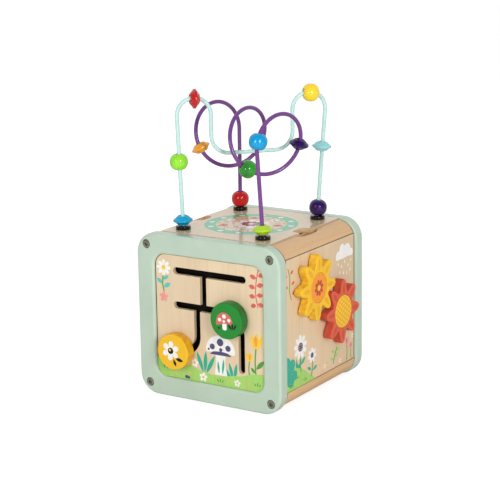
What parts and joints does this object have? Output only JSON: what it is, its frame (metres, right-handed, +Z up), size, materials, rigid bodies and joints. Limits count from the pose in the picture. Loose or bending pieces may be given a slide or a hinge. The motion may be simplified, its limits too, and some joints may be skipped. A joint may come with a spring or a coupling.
{
  "type": "activity cube",
  "caption": "Wooden activity cube with a lift-off bead maze lid, a slot maze with sliding knobs, meshing gears, a play clock and rolling blocks.",
  "frame": {"origin": "on the floor under the middle of the whole object's box", "axes": "+Z up; the slot maze side faces -Y and the gear side faces +X"},
  "size_m": [0.2186, 0.209, 0.367],
  "materials": {
    "mint": "satin paint",
    "ply": "satin lacquer",
    "beech": "satin lacquer",
    "sidewood": "satin lacquer",
    "black": "matt",
    "steel": "dark zinc",
    "yellow": "satin paint",
    "orange": "satin print",
    "coral": "satin paint",
    "amber": "satin print",
    "green": "satin paint",
    "aqua": "gloss powder coat",
    "purple": "gloss powder coat",
    "blue": "gloss lacquer",
    "lime": "gloss lacquer",
    "red": "gloss lacquer",
    "lemon": "gloss lacquer",
    "pale_aqua": "gloss lacquer",
    "violet": "gloss lacquer",
    "tangerine": "gloss lacquer",
    "leaf": "gloss lacquer",
    "sky": "gloss lacquer",
    "chartreuse": "gloss lacquer",
    "white": "satin paint"
  },
  "bodies": {
    "box": {"frame_front": "mint", "bolt_front_1": "steel", "bolt_front_2": "steel", "bolt_front_3": "steel", "bolt_front_4": "steel", "frame_rear": "mint", "bolt_rear_1": "steel", "bolt_rear_2": "steel", "bolt_rear_3": "steel", "bolt_rear_4": "steel", "rail_top_left": "beech", "rail_top_right": "beech", "rail_bottom_left": "beech", "rail_bottom_right": "beech", "block_rod": "beech", "block_cheek_left": "beech", "block_cheek_right": "beech", "base": "ply", "panel_front": "ply", "panel_rear": "ply", "panel_right": "sidewood", "panel_left": "sidewood", "slot_backing": "black", "axle_sun": "steel", "axle_flower": "steel", "clock_dial": "white", "clock_pin": "coral"},
    "lid_unit": {"lid": "ply", "wire_aqua": "aqua", "wire_purple": "purple", "bush_1": "black", "bush_2": "black", "bush_3": "black", "bush_4": "black"},
    "green_knob": {"knob_green": "green", "washer_green": "white"},
    "yellow_knob": {"knob_yellow": "yellow", "washer_yellow": "white"},
    "sun_gear": {"gear_sun": "yellow", "disc_sun": "orange"},
    "flower_gear": {"gear_flower": "coral", "disc_flower": "amber"},
    "hour_hand": {"clock_hand_hour": "green"},
    "minute_hand": {"clock_hand_minute": "coral"},
    "rolling_1": {"block_1": "coral"},
    "rolling_2": {"block_2": "amber"},
    "rolling_3": {"block_3": "green"},
    "bead_on_aqua_1": {"bead_aqua_1": "sky"},
    "bead_on_aqua_2": {"bead_aqua_2": "lime"},
    "bead_on_aqua_3": {"bead_aqua_3": "red"},
    "bead_on_aqua_4": {"bead_aqua_4": "lemon"},
    "bead_on_aqua_5": {"bead_aqua_5": "pale_aqua"},
    "bead_on_aqua_6": {"bead_aqua_6": "violet"},
    "bead_on_purple_1": {"bead_purple_1": "red"},
    "bead_on_purple_2": {"bead_purple_2": "tangerine"},
    "bead_on_purple_3": {"bead_purple_3": "leaf"},
    "bead_on_purple_4": {"bead_purple_4": "violet"},
    "bead_on_purple_5": {"bead_purple_5": "blue"},
    "bead_on_purple_6": {"bead_purple_6": "chartreuse"}
  },
  "joints": [
    {"name": "lid_lift", "type": "slide", "parent": "box", "child": "lid_unit", "axis": [0, 0, 1], "range_m": [0, 0.12]},
    {"name": "green_knob_path", "type": "hinge", "parent": "box", "child": "green_knob", "pos_m": [0.0165, -0.0945, 0.087], "axis": [0, -1, 0], "range_deg": [-54, 36]},
    {"name": "yellow_knob_path", "type": "hinge", "parent": "box", "child": "yellow_knob", "pos_m": [-0.0379, -0.0945, 0.08], "axis": [0, -1, 0], "range_deg": [-5, 107]},
    {"name": "sun_gear_turn", "type": "hinge", "parent": "box", "child": "sun_gear", "pos_m": [0.1, -0.0205, 0.14], "axis": [1, 0, 0], "continuous": true},
    {"name": "flower_gear_turn", "type": "hinge", "parent": "box", "child": "flower_gear", "pos_m": [0.1, 0.03856, 0.09709], "axis": [1, 0, 0], "continuous": true},
    {"name": "hour_hand_turn", "type": "hinge", "parent": "box", "child": "hour_hand", "pos_m": [-0.1, 0.0055, 0.106], "axis": [-1, 0, 0], "continuous": true},
    {"name": "minute_hand_turn", "type": "hinge", "parent": "box", "child": "minute_hand", "pos_m": [-0.1, 0.0055, 0.106], "axis": [-1, 0, 0], "continuous": true},
    {"name": "rolling_1_turn", "type": "hinge", "parent": "box", "child": "rolling_1", "pos_m": [0, 0.0825, 0.108], "axis": [1, 0, 0], "continuous": true},
    {"name": "rolling_2_turn", "type": "hinge", "parent": "box", "child": "rolling_2", "pos_m": [0, 0.0825, 0.108], "axis": [1, 0, 0], "continuous": true},
    {"name": "rolling_3_turn", "type": "hinge", "parent": "box", "child": "rolling_3", "pos_m": [0, 0.0825, 0.108], "axis": [1, 0, 0], "continuous": true},
    {"name": "bead_aqua_1_slide", "type": "slide", "parent": "lid_unit", "child": "bead_on_aqua_1", "axis": [-0.0231, -0.0261, 0.9994], "range_m": [0, 0.03]},
    {"name": "bead_aqua_2_slide", "type": "slide", "parent": "lid_unit", "child": "bead_on_aqua_2", "axis": [-0.0231, -0.0261, 0.9994], "range_m": [-0.02, 0.04]},
    {"name": "bead_aqua_3_swing", "type": "hinge", "parent": "lid_unit", "child": "bead_on_aqua_3", "pos_m": [-0.04532, -0.04573, 0.3362], "axis": [0.749, -0.6626, 0], "range_deg": [-50, 50]},
    {"name": "bead_aqua_4_swing", "type": "hinge", "parent": "lid_unit", "child": "bead_on_aqua_4", "pos_m": [0.04917, 0.06107, 0.3362], "axis": [0.749, -0.6626, 0], "range_deg": [-45, 45]},
    {"name": "bead_aqua_5_slide", "type": "slide", "parent": "lid_unit", "child": "bead_on_aqua_5", "axis": [0.0521, 0.0589, 0.9969], "range_m": [-0.02, 0.034]},
    {"name": "bead_aqua_6_slide", "type": "slide", "parent": "lid_unit", "child": "bead_on_aqua_6", "axis": [0.0521, 0.0589, 0.9969], "range_m": [0, 0.035]},
    {"name": "bead_purple_1_slide", "type": "slide", "parent": "lid_unit", "child": "bead_on_purple_1", "axis": [0.0233, -0.0318, 0.9992], "range_m": [0, 0.06]},
    {"name": "bead_purple_2_swing", "type": "hinge", "parent": "lid_unit", "child": "bead_on_purple_2", "pos_m": [-0.0477, 0.0262, 0.30526], "axis": [0.8471, -0.4556, 0.2735], "range_deg": [-27, 27]},
    {"name": "bead_purple_3_swing", "type": "hinge", "parent": "lid_unit", "child": "bead_on_purple_3", "pos_m": [0.02532, -0.00461, 0.30695], "axis": [0.7966, -0.5808, 0.168], "range_deg": [-27, 27]},
    {"name": "bead_purple_4_swing", "type": "hinge", "parent": "lid_unit", "child": "bead_on_purple_4", "pos_m": [0.04277, -0.0167, 0.30517], "axis": [0.8482, -0.4595, -0.2633], "range_deg": [-27, 27]},
    {"name": "bead_purple_5_swing", "type": "hinge", "parent": "lid_unit", "child": "bead_on_purple_5", "pos_m": [0.05951, -0.02093, 0.30399], "axis": [0.9573, -0.289, -0.0006], "range_deg": [-27, 3]},
    {"name": "bead_purple_6_slide", "type": "slide", "parent": "lid_unit", "child": "bead_on_purple_6", "axis": [-0.0734, 0.0097, 0.9973], "range_m": [0, 0.055]}
  ],
  "couplings": [
    {"joint": "flower_gear_turn", "follows": "sun_gear_turn", "ratio": -1}
  ]
}
